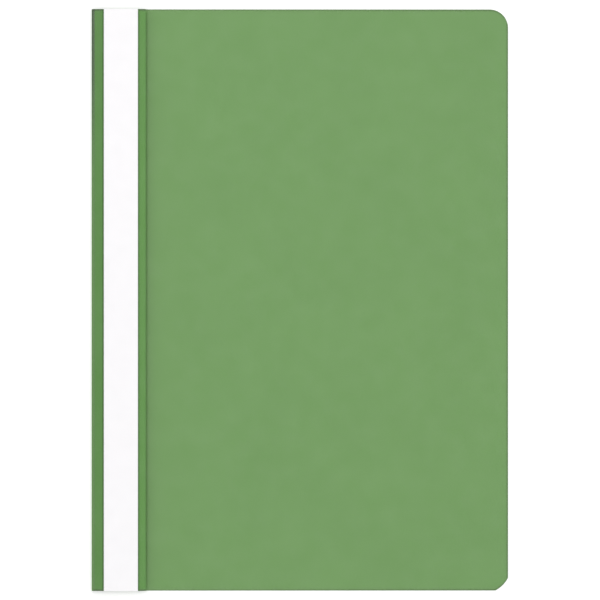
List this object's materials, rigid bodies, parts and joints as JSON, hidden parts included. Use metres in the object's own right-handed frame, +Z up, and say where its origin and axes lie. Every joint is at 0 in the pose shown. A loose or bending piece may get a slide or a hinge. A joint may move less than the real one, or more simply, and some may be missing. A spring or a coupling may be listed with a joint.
{
  "type": "report file",
  "caption": "Flat A4 plastic report file with a clear hinged front cover, a label pocket along the spine and a sliding paper fastener.",
  "frame": {"origin": "middle of the closed file's footprint, on the surface that it lies on", "axes": "+X from the spine to the free edge, +Y up the spine, +Z up through the back cover to the front cover"},
  "size_m": [0.222, 0.31, 0.005],
  "materials": {
    "green_film": "fine sand-grained coloured polypropylene sheet",
    "clear_film": "smooth transparent polypropylene sheet with a faint haze",
    "label_card": "smooth white label card",
    "tinned_steel": "satin tinned steel strip"
  },
  "bodies": {
    "back": {"back_cover": "green_film"},
    "spine": {"spine_wall": "green_film"},
    "band": {"binding_band": "green_film", "label_window": "clear_film", "window_weld_left": "clear_film", "window_weld_right": "clear_film", "fastener_strip": "tinned_steel"},
    "cover": {"front_cover": "clear_film"},
    "label": {"label_insert": "label_card"},
    "upper_prong": {"prong_upper": "tinned_steel"},
    "lower_prong": {"prong_lower": "tinned_steel"},
    "bar": {"compressor_bar": "tinned_steel"},
    "upper_lock": {"lock_slide_upper": "tinned_steel"},
    "lower_lock": {"lock_slide_lower": "tinned_steel"}
  },
  "joints": [
    {"name": "spine_lower_fold", "type": "hinge", "parent": "back", "child": "spine", "pos_m": [-0.11075, 0, 0.00025], "axis": [0, -1, 0], "range_deg": [0, 90]},
    {"name": "spine_upper_fold", "type": "hinge", "parent": "spine", "child": "band", "pos_m": [-0.11075, 0, 0.0039], "axis": [0, -1, 0], "range_deg": [0, 90]},
    {"name": "cover_open", "type": "hinge", "parent": "band", "child": "cover", "pos_m": [-0.082, 0, 0.00445], "axis": [0, -1, 0], "range_deg": [0, 170]},
    {"name": "label_slide", "type": "slide", "parent": "band", "child": "label", "axis": [0, 1, 0], "range_m": [0, 0.31]},
    {"name": "prong_upper_fold", "type": "hinge", "parent": "band", "child": "upper_prong", "pos_m": [-0.0954, 0.04, 0.0032], "axis": [1, 0, 0], "range_deg": [0, 90]},
    {"name": "prong_lower_fold", "type": "hinge", "parent": "band", "child": "lower_prong", "pos_m": [-0.0954, -0.04, 0.0032], "axis": [-1, 0, 0], "range_deg": [0, 90]},
    {"name": "compressor_lift", "type": "slide", "parent": "band", "child": "bar", "axis": [0, 0, -1], "range_m": [0, 0.0075]},
    {"name": "lock_upper_slide", "type": "slide", "parent": "bar", "child": "upper_lock", "axis": [0, -1, 0], "range_m": [0, 0.018]},
    {"name": "lock_lower_slide", "type": "slide", "parent": "bar", "child": "lower_lock", "axis": [0, 1, 0], "range_m": [0, 0.018]}
  ],
  "couplings": [
    {"joint": "spine_upper_fold", "follows": "spine_lower_fold", "ratio": 1},
    {"joint": "prong_upper_fold", "follows": "spine_lower_fold", "ratio": 1},
    {"joint": "prong_lower_fold", "follows": "spine_lower_fold", "ratio": 1},
    {"joint": "compressor_lift", "follows": "spine_lower_fold", "m_per_rad": 0.0047746}
  ]
}
